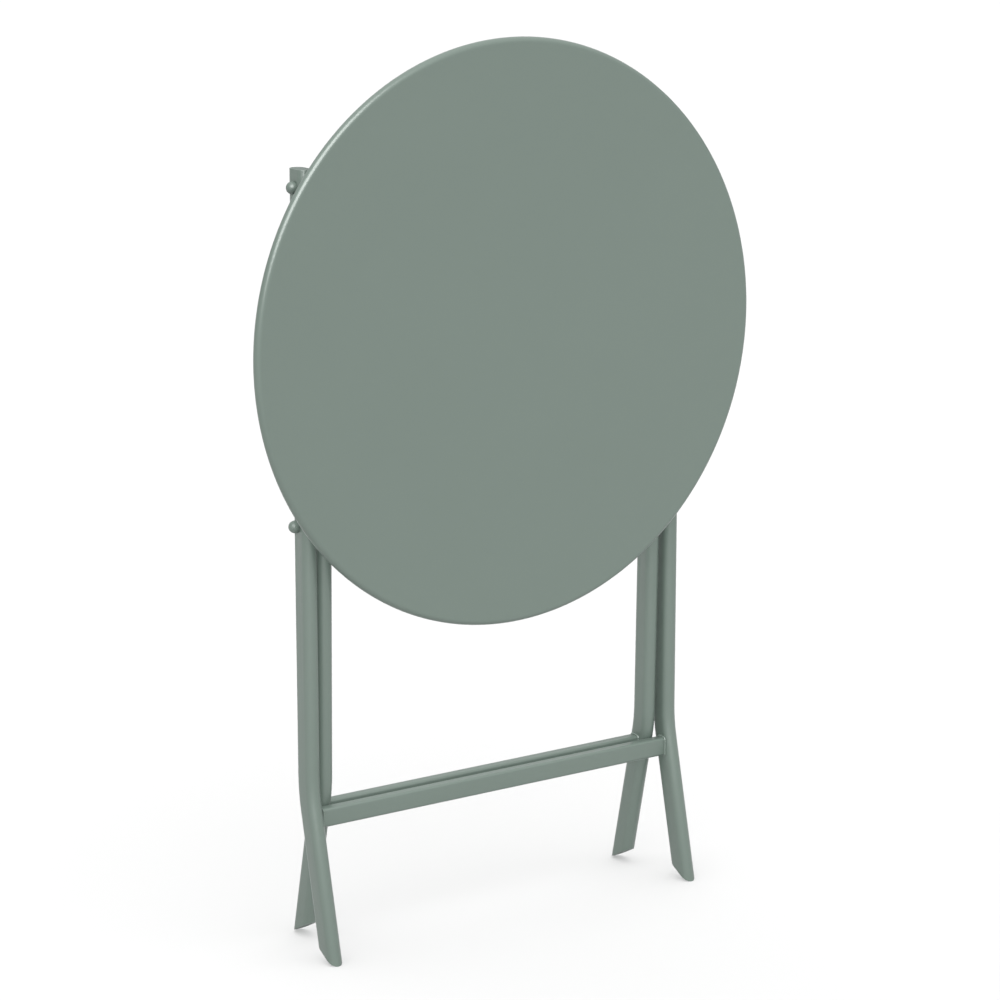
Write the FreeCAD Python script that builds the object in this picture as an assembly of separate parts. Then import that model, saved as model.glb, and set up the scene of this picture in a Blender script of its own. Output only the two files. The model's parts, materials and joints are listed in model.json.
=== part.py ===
import FreeCAD, Part
import math
import os
from FreeCAD import Vector

# Folding round bistro table, folded flat and standing on its toes, in millimetres.
# X runs along the hinge axes, -Y is the side that the tray faces, +Z is up, Z = 0 is the floor.
# The scissor pivot lies on the Z axis of this frame.

# ---- driving dimensions -------------------------------------------------------------------
TRAY_RADIUS = 300.0
TRAY_CENTRE_Z = 623.0
TRAY_FACE_Y = -44.0          # the tray's upper surface, which faces -Y when folded
TRAY_SHEET = 1.2
TRAY_EDGE_RADIUS = 5.5       # the edge is rolled through a half turn of this radius

TUBE_WIDTH = 16.0            # flat-oval leg tube, along X
TUBE_DEPTH = 27.0            # and in the folding direction
TUBE_WALL = 1.5
OUTER_LEG_X = 224.5
LEG_GAP = 4.0
OUTER_AXIS_Y = -4.0          # the outer legs lie this far in front of the scissor pivot
OUTER_TOP_Z = 805.0
PIVOT_Z = 448.0
HINGE_Y = -5.0
HINGE_Z = 787.0
BEND_Z = 171.0               # where the straight leg and the splayed foot would meet
BEND_RADIUS = 158.0
OUTER_FOOT_ANGLE = 13.1
INNER_FOOT_ANGLE = 11.8
INNER_REST_LEAN = 1.0        # folded, the inner frame is this far open
ROD_DISTANCE = 339.0         # from the scissor pivot up to the inner frame's top rod
INNER_TOP_ABOVE_ROD = 14.0
USE_LEAN = 28.5              # lean of the outer frame when the table stands open

BAR_HEIGHT = 20.0            # crossbars are rectangular tube with rounded corners
BAR_DEPTH = 12.0
BAR_CORNER = 3.0
OUTER_BAR_Z = 144.0
OUTER_BAR_FORWARD = 0.8      # off the legs' centre lines, to clear the inner legs behind it
INNER_BAR_Z = 144.0
BEAD_SIZE = 1.6

ROD_RADIUS = 6.0
PIVOT_BOLT_RADIUS = 4.0
HEAD_RADIUS = 6.4            # acorn-shaped heads of the pivot bolts and hinge pins
HEAD_EDGE = 2.2
HEAD_HEIGHT = 8.4
RUNNING_CLEARANCE = 0.05
PLUG_CLEARANCE = 0.1
PLUG_DEPTH = 12.0
WASHER_RADIUS = 9.0
NUT_ACROSS_FLATS = 13.0
NUT_HEIGHT = 6.0
BOLT_TIP = 2.0               # bolt thread past the nut

RAIL_X = 178.5
RAIL_WIDTH = 24.0
RAIL_HEIGHT = 12.0
RAIL_SHEET = 2.0
RAIL_LOW_Z = 440.0
RAIL_HIGH_Z = 838.0
EAR_THICKNESS = 3.0
EAR_PIN_GAP = 0.4
EAR_LIP_RISE = 0.8           # the lip opens by this much towards its tip
EAR_LIP_REACH = 9.0          # past the pin's axis
EAR_BELOW_PIN = 18.0
EAR_ABOVE_PIN = 20.0
EAR_CHAMFER = 3.0
HOOK_THICKNESS = 4.0
HOOK_WALL = 7.0
HOOK_ROD_GAP = 0.35
HOOK_ABOVE_ROD = 16.0
HOOK_ROOT_FLARE = 10.0       # the hook widens by this much at each end where it meets the rail
HOOK_CHAMFER = 4.0
ROOM = 400.0                 # half the size of a block that takes in the whole table
TOOL_OVERRUN = 1.0           # how far a drill passes a wall

# ---- worked out from the driving dimensions -------------------------------------------------
INNER_LEG_X = OUTER_LEG_X - TUBE_WIDTH - LEG_GAP
OUTER_LEG_INSIDE = OUTER_LEG_X - TUBE_WIDTH / 2
OUTER_LEG_OUTSIDE = OUTER_LEG_X + TUBE_WIDTH / 2
INNER_LEG_INSIDE = INNER_LEG_X - TUBE_WIDTH / 2
INNER_LEG_OUTSIDE = INNER_LEG_X + TUBE_WIDTH / 2
TRAY_BACK_Y = TRAY_FACE_Y + TRAY_SHEET
SIDES = {"left": -1, "right": 1}
X_AXIS = Vector(1, 0, 0)


def turn(point, about, degrees):
    """A (y, z) point turned about another, positive by the right-hand rule about +X."""
    c = math.cos(math.radians(degrees))
    s = math.sin(math.radians(degrees))
    y = point[0] - about[0]
    z = point[1] - about[1]
    return (about[0] + c * y - s * z, about[1] + s * y + c * z)


PIVOT = (0.0, PIVOT_Z)
HINGE = (HINGE_Y, HINGE_Z)
ROD_FOLDED = turn((0.0, PIVOT_Z + ROD_DISTANCE), PIVOT, INNER_REST_LEAN)


def toe_point(axis_y, side, angle, lean):
    """Where a foot's leading face meets the floor, (y, z) before the frame leans."""
    slope = math.tan(math.radians(angle))
    half = TUBE_DEPTH / 2 / math.cos(math.radians(angle))
    c = math.cos(math.radians(lean))
    s = math.sin(math.radians(lean))
    reach = axis_y + side * (slope * BEND_Z + half)
    z = (PIVOT_Z * (c - 1) - s * reach) / (c - side * s * slope)
    return (reach - side * slope * z, z)


OUTER_TOE = toe_point(OUTER_AXIS_Y, -1, OUTER_FOOT_ANGLE, 0.0)
INNER_TOE_UPRIGHT = toe_point(0.0, 1, INNER_FOOT_ANGLE, INNER_REST_LEAN)
INNER_TOE = turn(INNER_TOE_UPRIGHT, PIVOT, INNER_REST_LEAN)

# Open, both soles lie flat on the floor, which sets how far the inner frame turns.
USE_PIVOT_HEIGHT = PIVOT_Z - turn(OUTER_TOE, PIVOT, -USE_LEAN)[1]
INNER_REACH = math.hypot(INNER_TOE[0], PIVOT_Z - INNER_TOE[1])
INNER_START = math.degrees(math.atan2(INNER_TOE[0], PIVOT_Z - INNER_TOE[1]))
INNER_USE_LEAN = math.degrees(math.acos(USE_PIVOT_HEIGHT / INNER_REACH)) - INNER_START
SCISSOR_TRAVEL = USE_LEAN + INNER_USE_LEAN
TRAY_TURN = 90.0 - USE_LEAN
ROD_TURN = SCISSOR_TRAVEL + TRAY_TURN
ROD_OPEN = turn(ROD_FOLDED, PIVOT, SCISSOR_TRAVEL)
ROD_SEAT = turn(ROD_OPEN, HINGE, TRAY_TURN)     # where the open rod sits, on the folded tray
SLIDE = (ROD_FOLDED[0] - ROD_SEAT[0], ROD_FOLDED[1] - ROD_SEAT[1])
SLIDE_LENGTH = math.hypot(SLIDE[0], SLIDE[1])


# ---- shapes shared by several sub-parts -------------------------------------------------------
def save(shape, name):
    shape.exportStep(os.path.join("parts", name + ".step"))
    print(f"{name:24s} valid {shape.isValid()} solids {len(shape.Solids)} volume {shape.Volume:10.1f}")


def stadium(width, depth, centre):
    """Flat-oval face in the XY plane, round at both ends of its depth (Y)."""
    radius = width / 2
    half = depth / 2 - radius
    x, y, z = centre
    front = Part.Arc(
        Vector(x - radius, y - half, z), Vector(x, y - half - radius, z), Vector(x + radius, y - half, z)
    )
    right = Part.LineSegment(Vector(x + radius, y - half, z), Vector(x + radius, y + half, z))
    back = Part.Arc(
        Vector(x + radius, y + half, z), Vector(x, y + half + radius, z), Vector(x - radius, y + half, z)
    )
    left = Part.LineSegment(Vector(x - radius, y + half, z), Vector(x - radius, y - half, z))
    return Part.Face(Part.Wire([front.toShape(), right.toShape(), back.toShape(), left.toShape()]))


def cylinder_x(radius, low_x, high_x, centre):
    """Cylinder along X between two X values, about a (y, z) centre."""
    return Part.makeCylinder(radius, high_x - low_x, Vector(low_x, centre[0], centre[1]), X_AXIS)


def half_space(point, degrees, above):
    """Big block above or below the plane through a (y, z) point that slopes up towards +Y."""
    low = 0.0 if above else -ROOM
    block = Part.makeBox(2 * ROOM, 2 * ROOM, ROOM, Vector(-ROOM, -ROOM, low))
    block.rotate(Vector(0, 0, 0), X_AXIS, degrees)
    block.translate(Vector(0, point[0], point[1]))
    return block


def leg_sweep(x, axis_y, side, angle, top_z, inset):
    """Solid flat-oval bar along a leg's centre line, from its top to below the floor."""
    half_turn = math.radians(angle) / 2
    tangent = BEND_RADIUS * math.tan(half_turn)
    centre_y = axis_y + side * BEND_RADIUS
    start_z = BEND_Z + tangent
    direction = Vector(0, side * math.sin(2 * half_turn), -math.cos(2 * half_turn))
    start = Vector(x, axis_y, start_z)
    middle_y = centre_y - side * BEND_RADIUS * math.cos(half_turn)
    middle = Vector(x, middle_y, start_z - BEND_RADIUS * math.sin(half_turn))
    end = Vector(x, axis_y, BEND_Z) + direction * tangent
    foot = end + direction * (BEND_Z + TUBE_DEPTH)
    upper = Part.LineSegment(Vector(x, axis_y, top_z), start).toShape()
    bend = Part.Arc(start, middle, end).toShape()
    lower = Part.LineSegment(end, foot).toShape()
    path = Part.Wire([upper, bend, lower])
    section = stadium(TUBE_WIDTH - 2 * inset, TUBE_DEPTH - 2 * inset, (x, axis_y, top_z))
    return path.makePipeShell([section.OuterWire], True, True)


def dome(x, outward, centre):
    """Acorn-shaped head standing out from x: a short straight edge under a round dome."""
    radius = HEAD_RADIUS
    edge = HEAD_EDGE
    height = HEAD_HEIGHT
    cap = height - edge
    ball = (radius * radius + cap * cap) / (2 * cap)
    profile = Part.Wire([
        Part.LineSegment(Vector(0, 0, 0), Vector(0, radius, 0)).toShape(),
        Part.LineSegment(Vector(0, radius, 0), Vector(edge, radius, 0)).toShape(),
        Part.Arc(
            Vector(edge, radius, 0),
            Vector(height - ball + math.sqrt(ball * ball - radius * radius / 4), radius / 2, 0),
            Vector(height, 0, 0),
        ).toShape(),
        Part.LineSegment(Vector(height, 0, 0), Vector(0, 0, 0)).toShape(),
    ])
    head = Part.Face(profile).revolve(Vector(0, 0, 0), X_AXIS, 360)
    if outward < 0:
        head = head.mirror(Vector(0, 0, 0), X_AXIS)
    head.translate(Vector(x, centre[0], centre[1]))
    return head


def span(side, near, far):
    """Low and high X of a stretch given by its distances from the middle plane."""
    return (near, far) if side > 0 else (-far, -near)


def plate(outline, low_x, high_x):
    """Flat plate between two X values, from its edges in the YZ plane at X = 0."""
    face = Part.Face(Part.Wire(outline))
    face.translate(Vector(low_x, 0, 0))
    return face.extrude(Vector(high_x - low_x, 0, 0))


def edge_line(a, b):
    return Part.LineSegment(Vector(0, a[0], a[1]), Vector(0, b[0], b[1])).toShape()


def edge_arc(a, b, c):
    return Part.Arc(Vector(0, a[0], a[1]), Vector(0, b[0], b[1]), Vector(0, c[0], c[1])).toShape()


# ---- outer frame ------------------------------------------------------------------------------
def outer_leg(side):
    x = side * OUTER_LEG_X
    tube = leg_sweep(x, OUTER_AXIS_Y, -1, OUTER_FOOT_ANGLE, OUTER_TOP_Z, 0.0)
    hollow = leg_sweep(x, OUTER_AXIS_Y, -1, OUTER_FOOT_ANGLE, OUTER_TOP_Z, TUBE_WALL)
    leg = tube.cut(hollow).common(half_space(OUTER_TOE, USE_LEAN, True).fuse(upper_room()))
    low_x, high_x = span(side, OUTER_LEG_INSIDE - TOOL_OVERRUN, OUTER_LEG_OUTSIDE + TOOL_OVERRUN)
    for centre in (PIVOT, HINGE):
        leg = leg.cut(cylinder_x(PIVOT_BOLT_RADIUS + RUNNING_CLEARANCE, low_x, high_x, centre))
    return leg


def upper_room():
    """Everything well above the feet, to keep the upper part of a leg whole."""
    return Part.makeBox(2 * ROOM, 2 * ROOM, 2 * ROOM, Vector(-ROOM, -ROOM, BEND_Z))


def foot_plug(x, axis_y, side, angle, top_z, toe, sole_slope):
    """Plastic plug that closes a foot, flush with its slanted sole."""
    core = leg_sweep(x, axis_y, side, angle, top_z, TUBE_WALL + PLUG_CLEARANCE)
    above = core.common(half_space(toe, sole_slope, True))
    raised = (toe[0], toe[1] + PLUG_DEPTH / math.cos(math.radians(sole_slope)))
    return above.common(half_space(raised, sole_slope, False))


def top_plug(x, axis_y, top_z):
    inset = TUBE_WALL + PLUG_CLEARANCE
    section = stadium(TUBE_WIDTH - 2 * inset, TUBE_DEPTH - 2 * inset, (x, axis_y, top_z - PLUG_DEPTH / 2))
    return section.extrude(Vector(0, 0, PLUG_DEPTH / 2))


def bar_section(centre, x, grow):
    """Crossbar section in the YZ plane at x, made larger all round by grow."""
    radius = BAR_CORNER + grow
    reach_y = BAR_DEPTH / 2 + grow - radius
    reach_z = BAR_HEIGHT / 2 + grow - radius
    corners = []
    for quarter, (sign_y, sign_z) in enumerate([(1, 1), (-1, 1), (-1, -1), (1, -1)]):
        middle = (centre[0] + sign_y * reach_y, centre[1] + sign_z * reach_z)
        points = []
        for angle in (90 * quarter, 90 * quarter + 45, 90 * quarter + 90):
            points.append(turn((middle[0] + radius, middle[1]), middle, angle))
        corners.append(points)
    edges = []
    for points, following in zip(corners, corners[1:] + corners[:1]):
        edges.append(edge_arc(*points))
        edges.append(edge_line(points[2], following[0]))
    face = Part.Face(Part.Wire(edges))
    face.translate(Vector(x, 0, 0))
    return face


def crossbar(centre, inside):
    solid = bar_section(centre, -inside, 0.0).extrude(Vector(2 * inside, 0, 0))
    hollow = bar_section(centre, -inside, -TUBE_WALL).extrude(Vector(2 * inside, 0, 0))
    return solid.cut(hollow)


def weld_beads(centre, inside):
    """One bead round each end of a crossbar, against the leg."""
    beads = []
    for side in SIDES.values():
        start = inside if side > 0 else -inside + BEAD_SIZE
        ring = bar_section(centre, start, BEAD_SIZE).extrude(Vector(-BEAD_SIZE, 0, 0))
        hole = bar_section(centre, start, 0.0).extrude(Vector(-BEAD_SIZE, 0, 0))
        beads.append(ring.cut(hole))
    return Part.makeCompound(beads)


def bar_centre(axis_y, side, angle, z):
    """(y, z) on the splayed part of a leg's centre line at a height."""
    return (axis_y + side * math.tan(math.radians(angle)) * (BEND_Z - z), z)


def pivot_bolt(side):
    """Domed bolt through both legs; its shank is the scissor pivot."""
    tip = INNER_LEG_INSIDE - NUT_HEIGHT - BOLT_TIP
    low_x, high_x = span(side, tip, OUTER_LEG_OUTSIDE)
    shank = cylinder_x(PIVOT_BOLT_RADIUS, low_x, high_x, PIVOT)
    return shank.fuse(dome(side * OUTER_LEG_OUTSIDE, side, PIVOT))


def pivot_nut(side):
    low_x, high_x = span(side, INNER_LEG_INSIDE - NUT_HEIGHT, INNER_LEG_INSIDE)
    radius = NUT_ACROSS_FLATS / 2 / math.cos(math.pi / 6)
    corners = []
    for n in range(7):
        angle = n * math.pi / 3
        y = PIVOT[0] + radius * math.cos(angle)
        z = PIVOT[1] + radius * math.sin(angle)
        corners.append(Vector(low_x, y, z))
    nut = Part.Face(Part.makePolygon(corners)).extrude(Vector(high_x - low_x, 0, 0))
    return nut.cut(cylinder_x(PIVOT_BOLT_RADIUS, low_x, high_x, PIVOT))


def pivot_washer(side):
    low_x, high_x = span(side, INNER_LEG_OUTSIDE, OUTER_LEG_INSIDE)
    washer = cylinder_x(WASHER_RADIUS, low_x, high_x, PIVOT)
    return washer.cut(cylinder_x(PIVOT_BOLT_RADIUS + RUNNING_CLEARANCE, low_x, high_x, PIVOT))


def hinge_pin(side):
    """Domed pin fixed in the outer leg; its inner end carries the tray's ear."""
    low_x, high_x = span(side, ear_inside(), OUTER_LEG_OUTSIDE)
    shank = cylinder_x(PIVOT_BOLT_RADIUS, low_x, high_x, HINGE)
    return shank.fuse(dome(side * OUTER_LEG_OUTSIDE, side, HINGE))


# ---- inner frame, drawn upright and then leaned about the pivot -----------------------------------
def leaned(shape):
    shape.rotate(Vector(0, PIVOT[0], PIVOT[1]), X_AXIS, INNER_REST_LEAN)
    return shape


INNER_TOP_Z = PIVOT_Z + ROD_DISTANCE + INNER_TOP_ABOVE_ROD
INNER_SOLE_SLOPE = -(INNER_USE_LEAN + INNER_REST_LEAN)


def inner_leg(side):
    x = side * INNER_LEG_X
    tube = leg_sweep(x, 0.0, 1, INNER_FOOT_ANGLE, INNER_TOP_Z, 0.0)
    hollow = leg_sweep(x, 0.0, 1, INNER_FOOT_ANGLE, INNER_TOP_Z, TUBE_WALL)
    room = half_space(INNER_TOE_UPRIGHT, INNER_SOLE_SLOPE, True).fuse(upper_room())
    leg = tube.cut(hollow).common(room)
    low_x, high_x = span(side, INNER_LEG_INSIDE - TOOL_OVERRUN, INNER_LEG_OUTSIDE + TOOL_OVERRUN)
    leg = leg.cut(cylinder_x(PIVOT_BOLT_RADIUS + RUNNING_CLEARANCE, low_x, high_x, PIVOT))
    rod = (0.0, PIVOT_Z + ROD_DISTANCE)
    leg = leg.cut(cylinder_x(ROD_RADIUS + RUNNING_CLEARANCE, low_x, high_x, rod))
    return leaned(leg)


def top_rod():
    """Rod across the inner frame's top, which turns in the legs and carries the tray."""
    half = INNER_LEG_OUTSIDE
    return cylinder_x(ROD_RADIUS, -half, half, ROD_FOLDED)


# ---- tray ------------------------------------------------------------------------------------
def tray_top():
    """Pressed steel disc whose edge is rolled round and back under the sheet."""
    edge = TRAY_EDGE_RADIUS
    inner_edge = edge - TRAY_SHEET
    corner = TRAY_RADIUS - edge
    underside = 2 * edge
    points = [
        Part.LineSegment(Vector(0, 0, 0), Vector(corner, 0, 0)),
        Part.Arc(Vector(corner, 0, 0), Vector(TRAY_RADIUS, edge, 0), Vector(corner, underside, 0)),
        Part.LineSegment(Vector(corner, underside, 0), Vector(corner, underside - TRAY_SHEET, 0)),
        Part.Arc(
            Vector(corner, underside - TRAY_SHEET, 0),
            Vector(corner + inner_edge, edge, 0),
            Vector(corner, TRAY_SHEET, 0),
        ),
        Part.LineSegment(Vector(corner, TRAY_SHEET, 0), Vector(0, TRAY_SHEET, 0)),
        Part.LineSegment(Vector(0, TRAY_SHEET, 0), Vector(0, 0, 0)),
    ]
    profile = Part.Face(Part.Wire([p.toShape() for p in points]))
    disc = profile.revolve(Vector(0, 0, 0), Vector(0, 1, 0), 360)
    disc.translate(Vector(0, TRAY_FACE_Y, TRAY_CENTRE_Z))
    return disc


def tray_rail(side):
    """Shallow channel welded under the tray, open towards the sheet."""
    low_x = side * RAIL_X - RAIL_WIDTH / 2
    length = RAIL_HIGH_Z - RAIL_LOW_Z
    block = Part.makeBox(RAIL_WIDTH, RAIL_HEIGHT, length, Vector(low_x, TRAY_BACK_Y, RAIL_LOW_Z))
    inner_width = RAIL_WIDTH - 2 * RAIL_SHEET
    corner = Vector(low_x + RAIL_SHEET, TRAY_BACK_Y, RAIL_LOW_Z)
    inside = Part.makeBox(inner_width, RAIL_HEIGHT - RAIL_SHEET, length, corner)
    return block.cut(inside)


def ear_inside():
    """Distance from the middle plane to the inner face of a hinge ear, in the gap between the legs."""
    return INNER_LEG_OUTSIDE + (LEG_GAP - EAR_THICKNESS) / 2


def hinge_ear(side):
    """Angle bracket under the tray whose ear hooks over the hinge pin, open below and behind."""
    y, z = HINGE
    reach = PIVOT_BOLT_RADIUS + EAR_PIN_GAP
    diagonal = reach * math.sqrt(0.5)
    low_z = z - EAR_BELOW_PIN
    high_z = z + EAR_ABOVE_PIN
    tip_y = y + EAR_LIP_REACH
    tip_z = z + reach + EAR_LIP_RISE
    outline = [
        edge_line((TRAY_BACK_Y, low_z), (y - reach - EAR_CHAMFER, low_z)),
        edge_line((y - reach - EAR_CHAMFER, low_z), (y - reach, low_z + EAR_CHAMFER)),
        edge_line((y - reach, low_z + EAR_CHAMFER), (y - reach, z)),
        edge_arc((y - reach, z), (y - diagonal, z + diagonal), (y, z + reach)),
        edge_line((y, z + reach), (tip_y, tip_z)),
        edge_line((tip_y, tip_z), (tip_y, tip_z + EAR_CHAMFER)),
        edge_line((tip_y, tip_z + EAR_CHAMFER), (y - EAR_CHAMFER, high_z)),
        edge_line((y - EAR_CHAMFER, high_z), (TRAY_BACK_Y, high_z)),
        edge_line((TRAY_BACK_Y, high_z), (TRAY_BACK_Y, low_z)),
    ]
    low_x, high_x = span(side, ear_inside(), ear_inside() + EAR_THICKNESS)
    ear = plate(outline, low_x, high_x)
    foot_low, foot_high = span(side, RAIL_X + RAIL_WIDTH / 2, ear_inside())
    corner = Vector(foot_low, TRAY_BACK_Y, low_z)
    foot = Part.makeBox(foot_high - foot_low, EAR_THICKNESS, high_z - low_z, corner)
    return ear.fuse(foot).removeSplitter()


def catch_hook(side):
    """Upright plate on a rail whose slot takes the top rod when the table is open."""
    y, z = ROD_SEAT
    slot = ROD_RADIUS + HOOK_ROD_GAP
    root_y = TRAY_BACK_Y + RAIL_HEIGHT
    low_z = z - slot - HOOK_WALL
    high_z = z + HOOK_ABOVE_ROD
    back_y = y + slot + HOOK_WALL
    nose = (y + (back_y - y) * math.sqrt(0.5), z - (z - low_z) * math.sqrt(0.5))
    outline = [
        edge_line((root_y, low_z - HOOK_ROOT_FLARE), (y, low_z)),
        edge_arc((y, low_z), nose, (back_y, z)),
        edge_line((back_y, z), (back_y, high_z - HOOK_CHAMFER)),
        edge_line((back_y, high_z - HOOK_CHAMFER), (y + slot, high_z)),
        edge_line((y + slot, high_z), (y + slot, z)),
        edge_arc((y + slot, z), (y, z - slot), (y - slot, z)),
        edge_line((y - slot, z), (y - slot, high_z)),
        edge_line((y - slot, high_z), (root_y, high_z + HOOK_ROOT_FLARE)),
        edge_line((root_y, high_z + HOOK_ROOT_FLARE), (root_y, low_z - HOOK_ROOT_FLARE)),
    ]
    low_x, high_x = span(side, RAIL_X - HOOK_THICKNESS / 2, RAIL_X + HOOK_THICKNESS / 2)
    return plate(outline, low_x, high_x)


def main():
    os.makedirs("parts", exist_ok=True)
    outer_bar = bar_centre(OUTER_AXIS_Y - OUTER_BAR_FORWARD, -1, OUTER_FOOT_ANGLE, OUTER_BAR_Z)
    inner_bar = bar_centre(0.0, 1, INNER_FOOT_ANGLE, INNER_BAR_Z)
    for word, side in SIDES.items():
        outer_x = side * OUTER_LEG_X
        inner_x = side * INNER_LEG_X
        save(outer_leg(side), f"outer_leg_{word}")
        save(top_plug(outer_x, OUTER_AXIS_Y, OUTER_TOP_Z), f"outer_top_plug_{word}")
        plug = foot_plug(outer_x, OUTER_AXIS_Y, -1, OUTER_FOOT_ANGLE, OUTER_TOP_Z, OUTER_TOE, USE_LEAN)
        save(plug, f"outer_foot_plug_{word}")
        save(pivot_bolt(side), f"pivot_bolt_{word}")
        save(hinge_pin(side), f"hinge_pin_{word}")
        save(inner_leg(side), f"inner_leg_{word}")
        save(leaned(top_plug(inner_x, 0.0, INNER_TOP_Z)), f"inner_top_plug_{word}")
        plug = foot_plug(
            inner_x, 0.0, 1, INNER_FOOT_ANGLE, INNER_TOP_Z, INNER_TOE_UPRIGHT, INNER_SOLE_SLOPE
        )
        save(leaned(plug), f"inner_foot_plug_{word}")
        save(tray_rail(side), f"tray_rail_{word}")
        save(hinge_ear(side), f"hinge_ear_{word}")
        save(catch_hook(side), f"catch_hook_{word}")
    save(Part.makeCompound([pivot_washer(s) for s in SIDES.values()]), "pivot_washers")
    save(Part.makeCompound([pivot_nut(s) for s in SIDES.values()]), "pivot_nuts")
    save(crossbar(outer_bar, OUTER_LEG_INSIDE), "outer_crossbar")
    save(weld_beads(outer_bar, OUTER_LEG_INSIDE), "outer_weld_beads")
    save(leaned(crossbar(inner_bar, INNER_LEG_INSIDE)), "inner_crossbar")
    save(leaned(weld_beads(inner_bar, INNER_LEG_INSIDE)), "inner_weld_beads")
    save(top_rod(), "top_rod")
    save(tray_top(), "tray_top")
    use_height = USE_PIVOT_HEIGHT + turn(HINGE, PIVOT, -USE_LEAN)[1] - PIVOT_Z + HINGE_Y - TRAY_FACE_Y
    print(f"scissor travel {SCISSOR_TRAVEL:.4f} deg, rod turn {ROD_TURN:.4f} deg")
    print(f"tray slide {SLIDE_LENGTH:.4f} mm along y {SLIDE[0]:.4f} z {SLIDE[1]:.4f}")
    print(f"rod folded y {ROD_FOLDED[0]:.4f} z {ROD_FOLDED[1]:.4f}")
    print(f"rod seat y {ROD_SEAT[0]:.4f} z {ROD_SEAT[1]:.4f}")
    print(f"outer toe y {OUTER_TOE[0]:.3f}, inner toe y {INNER_TOE[0]:.3f}, open height {use_height:.1f}")


main()
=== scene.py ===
import json
import math

import bmesh
import bpy
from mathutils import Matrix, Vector


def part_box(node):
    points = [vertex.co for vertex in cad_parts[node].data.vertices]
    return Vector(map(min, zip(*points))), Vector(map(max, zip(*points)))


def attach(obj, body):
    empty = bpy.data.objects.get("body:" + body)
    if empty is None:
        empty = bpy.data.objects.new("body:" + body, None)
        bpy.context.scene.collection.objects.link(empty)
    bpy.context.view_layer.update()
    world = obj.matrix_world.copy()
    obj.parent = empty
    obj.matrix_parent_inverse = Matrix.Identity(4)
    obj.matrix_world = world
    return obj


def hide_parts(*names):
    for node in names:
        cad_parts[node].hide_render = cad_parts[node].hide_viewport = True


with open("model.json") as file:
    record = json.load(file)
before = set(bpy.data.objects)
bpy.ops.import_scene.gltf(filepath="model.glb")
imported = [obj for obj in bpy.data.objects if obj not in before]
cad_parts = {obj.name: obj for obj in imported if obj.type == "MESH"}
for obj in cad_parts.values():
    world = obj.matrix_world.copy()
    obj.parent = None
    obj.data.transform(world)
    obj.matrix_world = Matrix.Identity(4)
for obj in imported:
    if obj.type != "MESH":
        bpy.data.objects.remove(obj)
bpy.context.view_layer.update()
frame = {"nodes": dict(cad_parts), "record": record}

BODY_OF = {node: body for body, nodes in frame["record"]["behaviour"]["bodies"].items() for node in nodes}
SLOT_OF = {part["node"]: part["material_slot"] for part in frame["record"]["subparts"]}
SIDES = {"left": -1, "right": 1}

# ---- the view, in degrees and metres ---------------------------------------------------------
CAMERA_AZIMUTH = 34.13           # to the left of straight in front of the tray
CAMERA_ELEVATION = 13.30
CAMERA_DISTANCE = 3.4026
CAMERA_AIM = Vector((0.0118, 0.0, 0.4428))
CAMERA_LENS = 118.4              # millimetres
SENSOR_WIDTH = 36.0

# ---- light -------------------------------------------------------------------------------------
AMBIENT_BACK = 0.50              # brightness of the surroundings behind and below the table
AMBIENT_FRONT = 0.22             # how much brighter they are straight in front of it
AMBIENT_TOP = 0.98               # and straight above it
KEY_STRENGTH = 3.1               # light on the faces; it casts no shadow and leaves no reflection
KEY_FROM = Vector((-0.38, -0.60, 0.70))
KEY_ANGLE = 30.0
SHEEN_STRENGTH = 7.0             # large softbox that only shows as a reflection
SHEEN_FROM = Vector((-0.50, -0.60, 0.62))
SHEEN_ANGLE = 54.0
FLOOR_SIZE = 600.0               # wide enough that its far edge is close to the horizon
FLOOR_ROUGHNESS = 0.9
FLOOR_SPECULAR = 0.1
VIEW_DEPTH = 1000.0              # how far the camera sees

# ---- colours, scene linear ------------------------------------------------------------------------
COAT = (0.107, 0.139, 0.120)
RUBBED = (0.200, 0.240, 0.217)
STEEL = (0.52, 0.53, 0.54)
PLUG = (0.100, 0.125, 0.112)
FLOOR = (0.55, 0.55, 0.55)

# ---- fineness of the surface grain, in cycles per metre, and depth of its relief, in metres ---------
DRIFT_SCALE = 9.0                # slow change of tint over the coat
PEEL_SCALE = 430.0               # orange peel of the coat
PEEL_DEPTH = 0.00030
PEEL_BUMP = 0.16
COAT_GRAIN_SCALE = 2600.0
COAT_GRAIN_DEPTH = 0.00008
COAT_GRAIN_BUMP = 0.10
PATCH_SCALE = 150.0              # patches of gloss and wear
COAT_SPECULAR = 0.5
COAT_WEAR_RADIUS = 0.0009        # how far in from an edge the coat is rubbed
RAGGED_SCALE = 700.0             # border of the bare bands
PLASTIC_GRAIN_SCALE = 1800.0
PLASTIC_GRAIN_DEPTH = 0.00012
PLASTIC_GRAIN_BUMP = 0.30
SCUFF_SCALE = 240.0
SCUFF_DEPTH = 0.0003
SCUFF_BUMP = 0.10
PLASTIC_WEAR_RADIUS = 0.0008
BARE_BAND_HALF_WIDTH = 0.0045    # where the catch hooks rub the top rod
BEVEL_SAMPLES = 4

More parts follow.
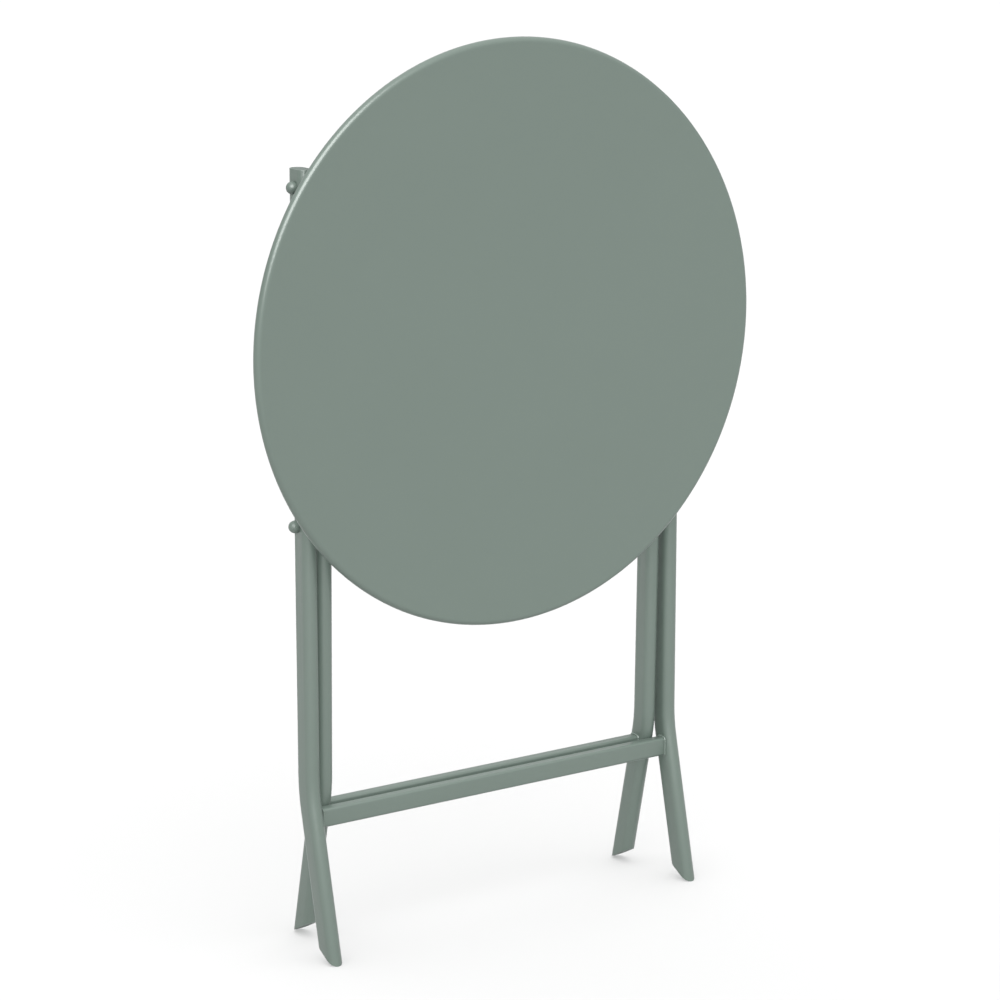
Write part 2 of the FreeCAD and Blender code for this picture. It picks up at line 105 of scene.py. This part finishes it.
# ---- sizes of the fine detail, in metres -----------------------------------------------------------
MERGE = 0.000005                 # vertices nearer than this are one
FLAT_ANGLE = math.radians(0.1)
SHARP_ANGLE = math.radians(32)
FACE_RINGS = (0.1, 0.4, 0.7, 0.9, 0.98, 0.998)   # on the flat of the tray, as shares of its radius
OUTER_ROLL_STEPS = 24
INNER_ROLL_STEPS = 16
SHEET = 0.0012
LIP = 0.0005                     # rounding of the cut edge of the sheet
TRAY_SEGMENTS = 288
FASTENER_SEGMENTS = 64
SHANK_RADIUS = 0.004
SHANK_TIP = ((0.0, 0.0009), (0.0006, 0.0003))   # (distance from the end, depth below the surface)
HEAD_HEIGHT = 0.0084
HEAD_EDGE = 0.0022
HEAD_CORNER = 0.0003             # rounding under the head
DOME_CORNER = 0.0002             # and where its dome begins
DOME_TIP_ANGLE = 4               # degrees; the tip is closed from here
DOME_STEPS = 14
THREAD_START = 0.0010
THREAD_PITCH = 0.00125
THREAD_DEPTH = 0.0005
THREAD_LENGTH = 0.0085
THREAD_END = 0.0006              # from the last groove back to the full shank
BAR_CORNER = 0.003
BEAD_RIPPLES = 30
STEPS_PER_RIPPLE = 8
BEAD_LOW = 0.84                  # size of a weld bead between ripples, as a share of the CAD bead
BEAD_RIPPLE = 0.14
BEAD_WANDER = 0.02
WANDER_PER_STEP = 0.37           # radians
BEAD_SECTION = (                 # (away from the bar, along it), as shares of the bead
    (1.0, 0.0), (0.93, 0.30), (0.75, 0.58), (0.58, 0.75), (0.30, 0.93), (0.0, 1.0), (-0.15, 0.0),
)
INNER_REST_LEAN = math.radians(1.0)
ROUNDING_STEPS = 3

# rounding of the edges of each node, in metres
EDGE_ROUNDING = {
    "pivot_washers": 0.0005,
    "pivot_nuts": 0.0005,
    "top_rod": 0.0005,
    "outer_crossbar": 0.0002,
    "inner_crossbar": 0.0002,
}
SIDE_EDGE_ROUNDING = {
    "outer_leg": 0.0004,
    "inner_leg": 0.0004,
    "tray_rail": 0.0008,
    "hinge_ear": 0.0006,
    "catch_hook": 0.0008,
    "outer_top_plug": 0.0012,
    "outer_foot_plug": 0.0008,
    "inner_top_plug": 0.0012,
    "inner_foot_plug": 0.0008,
}


# ---- materials --------------------------------------------------------------------------------------
def new_material(name):
    """An empty node tree with a Principled shader wired to the output."""
    material = bpy.data.materials.new(name)
    material.use_nodes = True
    tree = material.node_tree
    tree.nodes.clear()
    output = tree.nodes.new("ShaderNodeOutputMaterial")
    shader = tree.nodes.new("ShaderNodeBsdfPrincipled")
    tree.links.new(shader.outputs["BSDF"], output.inputs["Surface"])
    return material, tree, shader


def noise(tree, scale, detail, roughness=0.5):
    """3-D noise in the object's own metres, so that it stays fixed to the piece."""
    coordinate = tree.nodes.new("ShaderNodeTexCoord")
    node = tree.nodes.new("ShaderNodeTexNoise")
    node.inputs["Scale"].default_value = scale
    node.inputs["Detail"].default_value = detail
    node.inputs["Roughness"].default_value = roughness
    tree.links.new(coordinate.outputs["Object"], node.inputs["Vector"])
    return node.outputs["Fac"]


def ramp(tree, source, stops):
    """Colour ramp fed by a value; stops are (position, colour)."""
    node = tree.nodes.new("ShaderNodeValToRGB")
    while len(node.color_ramp.elements) < len(stops):
        node.color_ramp.elements.new(0.5)
    for element, (position, colour) in zip(node.color_ramp.elements, stops):
        element.position = position
        element.color = (*colour, 1.0)
    tree.links.new(source, node.inputs["Fac"])
    return node.outputs["Color"]


def grey_ramp(tree, source, stops):
    return ramp(tree, source, [(position, (value,) * 3) for position, value in stops])


def scaled(colour, factor):
    return tuple(factor * channel for channel in colour)


def calculate(tree, operation, first, second):
    """Math node; either input may be a socket or a number."""
    node = tree.nodes.new("ShaderNodeMath")
    node.operation = operation
    for socket, value in zip(node.inputs, (first, second)):
        if isinstance(value, (int, float)):
            socket.default_value = value
        else:
            tree.links.new(value, socket)
    return node.outputs["Value"]


def mixed(tree, factor, first, second):
    """Colour mix of two sockets."""
    node = tree.nodes.new("ShaderNodeMix")
    node.data_type = "RGBA"
    tree.links.new(factor, node.inputs["Factor"])
    tree.links.new(first, node.inputs[6])
    tree.links.new(second, node.inputs[7])
    return node.outputs[2]


def bumped(tree, shader, layers):
    """Chained bump nodes; layers are (height socket, strength, distance)."""
    normal = None
    for height, strength, distance in layers:
        node = tree.nodes.new("ShaderNodeBump")
        node.inputs["Strength"].default_value = strength
        node.inputs["Distance"].default_value = distance
        tree.links.new(height, node.inputs["Height"])
        if normal:
            tree.links.new(normal, node.inputs["Normal"])
        normal = node.outputs["Normal"]
    tree.links.new(normal, shader.inputs["Normal"])


def edge_mask(tree, radius):
    """Near 1 on sharp outer edges and 0 on flat or gently curved faces."""
    bevel = tree.nodes.new("ShaderNodeBevel")
    bevel.samples = BEVEL_SAMPLES
    bevel.inputs["Radius"].default_value = radius
    geometry = tree.nodes.new("ShaderNodeNewGeometry")
    dot = tree.nodes.new("ShaderNodeVectorMath")
    dot.operation = "DOT_PRODUCT"
    tree.links.new(bevel.outputs["Normal"], dot.inputs[0])
    tree.links.new(geometry.outputs["True Normal"], dot.inputs[1])
    turned_away = calculate(tree, "SUBTRACT", 1.0, dot.outputs["Value"])
    return grey_ramp(tree, turned_away, [(0.03, 0.0), (0.16, 1.0)])


def band_mask(tree, centre, half_width):
    """1 where the distance from the middle plane is within half_width of centre, with a ragged border."""
    coordinate = tree.nodes.new("ShaderNodeTexCoord")
    split = tree.nodes.new("ShaderNodeSeparateXYZ")
    tree.links.new(coordinate.outputs["Object"], split.inputs["Vector"])
    distance = calculate(tree, "ABSOLUTE", split.outputs["X"], 0.0)
    offset = calculate(tree, "ABSOLUTE", calculate(tree, "SUBTRACT", distance, centre), 0.0)
    ragged = calculate(tree, "MULTIPLY_ADD", noise(tree, RAGGED_SCALE, 4.0, 0.7), half_width)
    border = calculate(tree, "SUBTRACT", calculate(tree, "DIVIDE", offset, half_width), ragged)
    return grey_ramp(tree, border, [(0.45, 1.0), (0.75, 0.0)])


def powder_coat(name, wear=0.0, rough=0.33, rubbed_bands=None):
    """Satin powder coat: orange peel, fine grain, slightly uneven gloss and, with wear, rubbed edges."""
    material, tree, shader = new_material(name)
    cloud = noise(tree, DRIFT_SCALE, 2.0)
    peel_height = noise(tree, PEEL_SCALE, 2.0, 0.45)
    grain = noise(tree, COAT_GRAIN_SCALE, 2.0, 0.5)
    patch = noise(tree, PATCH_SCALE, 5.0, 0.65)
    colour = ramp(tree, grain, [(0.25, scaled(COAT, 0.955)), (0.75, scaled(COAT, 1.045))])
    drift = ramp(tree, cloud, [(0.3, scaled(COAT, 0.985)), (0.7, scaled(COAT, 1.015))])
    half = grey_ramp(tree, patch, [(0.0, 0.4), (1.0, 0.6)])
    colour = mixed(tree, half, colour, drift)
    gloss = grey_ramp(tree, patch, [(0.2, rough - 0.03), (0.8, rough + 0.03)])
    if wear > 0:
        edges = edge_mask(tree, COAT_WEAR_RADIUS)
        worn = calculate(tree, "MULTIPLY", edges, grey_ramp(tree, patch, [(0.42, 0.0), (0.62, wear)]))
        colour = mixed(tree, worn, colour, ramp(tree, grain, [(0.0, scaled(RUBBED, 0.9)), (1.0, RUBBED)]))
    if rubbed_bands:
        centre, half_width = rubbed_bands
        band = band_mask(tree, centre, half_width)
        colour = mixed(tree, band, colour, ramp(tree, patch, [(0.3, scaled(STEEL, 0.8)), (0.7, STEEL)]))
        tree.links.new(band, shader.inputs["Metallic"])
    tree.links.new(colour, shader.inputs["Base Color"])
    tree.links.new(gloss, shader.inputs["Roughness"])
    shader.inputs["Specular IOR Level"].default_value = COAT_SPECULAR
    peel_layer = (peel_height, PEEL_BUMP, PEEL_DEPTH)
    bumped(tree, shader, [peel_layer, (grain, COAT_GRAIN_BUMP, COAT_GRAIN_DEPTH)])
    return material


def moulded_plastic(name):
    """Matt moulded plastic with a fine spark-eroded grain and scuffed edges."""
    material, tree, shader = new_material(name)
    grain = noise(tree, PLASTIC_GRAIN_SCALE, 3.0, 0.6)
    scuff = noise(tree, SCUFF_SCALE, 5.0, 0.7)
    tint = ramp(tree, grain, [(0.2, scaled(PLUG, 0.88)), (0.8, scaled(PLUG, 1.12))])
    pale = ramp(tree, grain, [(0.0, scaled(PLUG, 1.5)), (1.0, scaled(PLUG, 1.9))])
    edges = edge_mask(tree, PLASTIC_WEAR_RADIUS)
    rubbed = calculate(tree, "MULTIPLY", edges, grey_ramp(tree, scuff, [(0.4, 0.0), (0.6, 0.7)]))
    tree.links.new(mixed(tree, rubbed, tint, pale), shader.inputs["Base Color"])
    tree.links.new(grey_ramp(tree, scuff, [(0.2, 0.52), (0.8, 0.70)]), shader.inputs["Roughness"])
    scuff_layer = (scuff, SCUFF_BUMP, SCUFF_DEPTH)
    bumped(tree, shader, [scuff_layer, (grain, PLASTIC_GRAIN_BUMP, PLASTIC_GRAIN_DEPTH)])
    return material


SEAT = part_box("catch_hook_right")
SEAT_X = (SEAT[0][0] + SEAT[1][0]) / 2
MATERIALS = {
    "powder_coat": powder_coat("powder_coat_frame", wear=0.35),
    "fastener_coat": powder_coat("powder_coat_fastener", wear=0.7, rough=0.42),
    "plug_plastic": moulded_plastic("plug_plastic"),
    "rod_steel": powder_coat("powder_coat_rod", wear=0.6, rubbed_bands=(SEAT_X, BARE_BAND_HALF_WIDTH)),
}
TRAY_COAT = powder_coat("powder_coat_tray", rough=0.31)


# ---- mesh helpers ----------------------------------------------------------------------------------
def add_piece(name, work, nodes, material=None):
    """Turn a bmesh into a piece that stands in for CAD nodes of one body and one slot."""
    bmesh.ops.recalc_face_normals(work, faces=work.faces)
    mesh = bpy.data.meshes.new(name)
    work.to_mesh(mesh)
    work.free()
    mesh.polygons.foreach_set("use_smooth", [True] * len(mesh.polygons))
    mesh.materials.append(material or MATERIALS[SLOT_OF[nodes[0]]])
    piece = bpy.data.objects.new(name, mesh)
    bpy.context.collection.objects.link(piece)
    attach(piece, BODY_OF[nodes[0]])
    return piece


def softened(node, radius):
    """The node's own surface with its sharp edges rounded off."""
    work = bmesh.new()
    work.from_mesh(frame["nodes"][node].data)
    bmesh.ops.remove_doubles(work, verts=work.verts, dist=MERGE)
    bmesh.ops.dissolve_limit(work, angle_limit=FLAT_ANGLE, verts=work.verts, edges=work.edges)
    piece = add_piece(node + "_fine", work, [node])
    bevel = piece.modifiers.new("rounded_edges", "BEVEL")
    bevel.limit_method = "ANGLE"
    bevel.angle_limit = SHARP_ANGLE
    bevel.width = radius
    bevel.segments = ROUNDING_STEPS
    bevel.harden_normals = True
    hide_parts(node)


def add_ring(work, points):
    return [work.verts.new(point) for point in points]


def bridge(work, first, second):
    """Quads between two closed rings of the same length."""
    count = len(first)
    for n in range(count):
        work.faces.new((first[n], first[(n + 1) % count], second[(n + 1) % count], second[n]))


def cap(work, ring, centre):
    middle = work.verts.new(centre)
    for n in range(len(ring)):
        work.faces.new((ring[n], ring[(n + 1) % len(ring)], middle))


def lathed(profile, segments, place):
    """Surface of revolution from (along, radius) points; place turns along, radius, angle into a point."""
    work = bmesh.new()
    rings = []
    for along, radius in profile:
        angles = [2 * math.pi * n / segments for n in range(segments)]
        rings.append(add_ring(work, [place(along, radius, angle) for angle in angles]))
    for first, second in zip(rings, rings[1:]):
        bridge(work, first, second)
    cap(work, rings[0], place(profile[0][0], 0.0, 0.0))
    cap(work, rings[-1], place(profile[-1][0], 0.0, 0.0))
    return work


def arc(centre, radius, start, end, steps):
    """Points along a circle, (first coordinate, second coordinate), angles in degrees."""
    points = []
    for n in range(steps + 1):
        angle = math.radians(start + (end - start) * n / steps)
        points.append((centre[0] + radius * math.cos(angle), centre[1] + radius * math.sin(angle)))
    return points


# ---- pieces ------------------------------------------------------------------------------------------
def tray_disc():
    """Pressed sheet whose edge is rolled through a half turn and back under it."""
    low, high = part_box("tray_top")
    radius = (high[0] - low[0]) / 2
    roll = (high[1] - low[1]) / 2
    centre_z = (low[2] + high[2]) / 2
    corner = radius - roll
    face_rings = [share * corner for share in FACE_RINGS]
    profile = [(0.0, ring) for ring in face_rings]
    profile += arc((roll, corner), roll, 180, 0, OUTER_ROLL_STEPS)
    profile += [(2 * roll, corner - LIP), (2 * roll - LIP / 2, corner - 2 * LIP)]
    profile += [(2 * roll - SHEET + LIP / 2, corner - 2 * LIP), (2 * roll - SHEET, corner - LIP)]
    profile += arc((roll, corner), roll - SHEET, 0, 180, INNER_ROLL_STEPS)
    profile += [(SHEET, ring) for ring in reversed(face_rings)]

    def place(along, ring_radius, angle):
        x = ring_radius * math.cos(angle)
        return (x, low[1] + along, centre_z + ring_radius * math.sin(angle))

    piece = add_piece("tray_disc", lathed(profile, TRAY_SEGMENTS, place), ["tray_top"], TRAY_COAT)
    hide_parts("tray_top")


def domed_fastener(node, side, threaded):
    """Round shank with an acorn head outside the leg; the thread carries the nut."""
    low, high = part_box(node)
    length = high[0] - low[0]
    centre_y = (low[1] + high[1]) / 2
    centre_z = (low[2] + high[2]) / 2
    head_radius = (high[2] - low[2]) / 2
    neck = length - HEAD_HEIGHT
    rise = HEAD_HEIGHT - HEAD_EDGE
    ball = (head_radius ** 2 + rise ** 2) / (2 * rise)
    half_angle = math.degrees(math.asin(head_radius / ball))
    profile = [(along, SHANK_RADIUS - depth) for along, depth in SHANK_TIP]
    if threaded:
        for n in range(int(THREAD_LENGTH / THREAD_PITCH)):
            crest = THREAD_START + n * THREAD_PITCH
            profile.append((crest, SHANK_RADIUS))
            profile.append((crest + THREAD_PITCH / 2, SHANK_RADIUS - THREAD_DEPTH))
    start = profile[-1][0] + THREAD_END
    profile += [(start, SHANK_RADIUS), (neck, SHANK_RADIUS), (neck, head_radius - HEAD_CORNER)]
    profile += [(neck + HEAD_CORNER, head_radius), (neck + HEAD_EDGE - DOME_CORNER, head_radius)]
    profile += arc((length - ball, 0.0), ball, half_angle, DOME_TIP_ANGLE, DOME_STEPS)

    def place(along, radius, angle):
        x = low[0] + along if side > 0 else high[0] - along
        return (x, centre_y + radius * math.cos(angle), centre_z + radius * math.sin(angle))

    piece = add_piece(node + "_fine", lathed(profile, FASTENER_SEGMENTS, place), [node])
    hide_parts(node)


def bar_outline(half_y, half_z, steps):
    """Evenly spaced (y, z, outward y, outward z) points round a rectangle with rounded corners."""
    reach_y = half_y - BAR_CORNER
    reach_z = half_z - BAR_CORNER
    quarter = math.pi * BAR_CORNER / 2
    around = 4 * (quarter + reach_y + reach_z)
    corners = [
        (reach_y, reach_z, 2 * reach_y),
        (-reach_y, reach_z, 2 * reach_z),
        (-reach_y, -reach_z, 2 * reach_y),
        (reach_y, -reach_z, 2 * reach_z),
    ]
    outline = []
    for n in range(steps):
        travel = around * n / steps
        turns = 0
        while travel >= quarter + corners[turns][2]:
            travel -= quarter + corners[turns][2]
            turns += 1
        angle = math.pi / 2 * turns + min(travel, quarter) / BAR_CORNER
        straight = max(0.0, travel - quarter)
        c, s = math.cos(angle), math.sin(angle)
        y = corners[turns][0] + BAR_CORNER * c - straight * s
        z = corners[turns][1] + BAR_CORNER * s + straight * c
        outline.append((y, z, c, s))
    return outline


def rippled_welds(node, bar, lean):
    """Fillet weld round both ends of a crossbar, with the ripples that a welder's torch leaves."""
    low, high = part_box(bar)
    bead_low, bead_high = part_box(node)
    bead = (bead_high[2] - bead_low[2] - (high[2] - low[2])) / 2
    centre_y = (low[1] + high[1]) / 2
    centre_z = (low[2] + high[2]) / 2
    outline = bar_outline((high[1] - low[1]) / 2, (high[2] - low[2]) / 2, BEAD_RIPPLES * STEPS_PER_RIPPLE)
    c, s = math.cos(lean), math.sin(lean)
    work = bmesh.new()
    for side, face_x in ((-1, low[0]), (1, high[0])):
        rings = []
        for n, (y, z, out_y, out_z) in enumerate(outline):
            phase = (n % STEPS_PER_RIPPLE) / STEPS_PER_RIPPLE
            ripple = BEAD_RIPPLE * math.sin(math.pi * phase)
            size = bead * (BEAD_LOW + ripple + BEAD_WANDER * math.sin(WANDER_PER_STEP * n))
            ring = []
            for away, along in BEAD_SECTION:
                turned_y = y + out_y * away * size
                turned_z = z + out_z * away * size
                ring.append((
                    face_x - side * along * size,
                    centre_y + c * turned_y - s * turned_z,
                    centre_z + s * turned_y + c * turned_z,
                ))
            rings.append(add_ring(work, ring))
        for first, second in zip(rings, rings[1:] + rings[:1]):
            bridge(work, first, second)
    piece = add_piece(node + "_fine", work, [node])
    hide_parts(node)


def dress_cad_nodes():
    """Give every CAD node its slot's material."""
    for name, piece in frame["nodes"].items():
        for slot in piece.material_slots:
            slot.material = MATERIALS[SLOT_OF[name]]


def build():
    dress_cad_nodes()
    tray_disc()
    rippled_welds("outer_weld_beads", "outer_crossbar", 0.0)
    rippled_welds("inner_weld_beads", "inner_crossbar", INNER_REST_LEAN)
    for node, radius in EDGE_ROUNDING.items():
        softened(node, radius)
    for word, side in SIDES.items():
        domed_fastener(f"pivot_bolt_{word}", side, True)
        domed_fastener(f"hinge_pin_{word}", side, False)
        for node, radius in SIDE_EDGE_ROUNDING.items():
            softened(f"{node}_{word}", radius)


# ---- floor, light and camera --------------------------------------------------------------------------
def floor():
    half = FLOOR_SIZE / 2
    mesh = bpy.data.meshes.new("floor")
    corners = [(-half, -half, 0), (half, -half, 0), (half, half, 0), (-half, half, 0)]
    mesh.from_pydata(corners, [], [(0, 1, 2, 3)])
    piece = bpy.data.objects.new("floor", mesh)
    bpy.context.collection.objects.link(piece)
    material, _, shader = new_material("floor")
    shader.inputs["Base Color"].default_value = (*FLOOR, 1.0)
    shader.inputs["Roughness"].default_value = FLOOR_ROUGHNESS
    shader.inputs["Specular IOR Level"].default_value = FLOOR_SPECULAR
    mesh.materials.append(material)


def soft_sun(name, strength, towards, angle):
    """Distant round light; towards points at it."""
    data = bpy.data.lights.new(name, "SUN")
    data.energy = strength
    data.angle = math.radians(angle)
    lamp = bpy.data.objects.new(name, data)
    bpy.context.collection.objects.link(lamp)
    lamp.rotation_euler = (-towards).to_track_quat("-Z", "Y").to_euler()
    return lamp


def studio():
    """White surroundings, brighter in front and above, a soft key light and a softbox for reflections."""
    world = bpy.data.worlds.new("studio")
    bpy.context.scene.world = world
    world.use_nodes = True
    tree = world.node_tree
    background = tree.nodes["Background"]
    background.inputs["Color"].default_value = (1.0, 1.0, 1.0, 1.0)
    direction = tree.nodes.new("ShaderNodeTexCoord")
    split = tree.nodes.new("ShaderNodeSeparateXYZ")
    tree.links.new(direction.outputs["Generated"], split.inputs["Vector"])
    towards_front = calculate(tree, "MAXIMUM", calculate(tree, "MULTIPLY", split.outputs["Y"], -1.0), 0.0)
    towards_top = calculate(tree, "MAXIMUM", split.outputs["Z"], 0.0)
    front = calculate(tree, "MULTIPLY", towards_front, AMBIENT_FRONT)
    top = calculate(tree, "MULTIPLY", towards_top, AMBIENT_TOP)
    brightness = calculate(tree, "ADD", calculate(tree, "ADD", front, AMBIENT_BACK), top)
    tree.links.new(brightness, background.inputs["Strength"])
    key = soft_sun("key", KEY_STRENGTH, KEY_FROM, KEY_ANGLE)
    key.data.use_shadow = False
    key.visible_glossy = False
    sheen = soft_sun("sheen", SHEEN_STRENGTH, SHEEN_FROM, SHEEN_ANGLE)
    sheen.visible_diffuse = False
    bpy.context.scene.view_settings.view_transform = "Standard"


def camera():
    azimuth = math.radians(CAMERA_AZIMUTH)
    elevation = math.radians(CAMERA_ELEVATION)
    forward = Vector((
        math.sin(azimuth) * math.cos(elevation),
        math.cos(azimuth) * math.cos(elevation),
        -math.sin(elevation),
    ))
    data = bpy.data.cameras.new("camera")
    data.sensor_width = SENSOR_WIDTH
    data.lens = CAMERA_LENS
    data.clip_end = VIEW_DEPTH
    lens = bpy.data.objects.new("camera", data)
    bpy.context.collection.objects.link(lens)
    lens.location = CAMERA_AIM - forward * CAMERA_DISTANCE
    lens.rotation_euler = forward.to_track_quat("-Z", "Y").to_euler()
    bpy.context.scene.camera = lens


build()
floor()
studio()
camera()
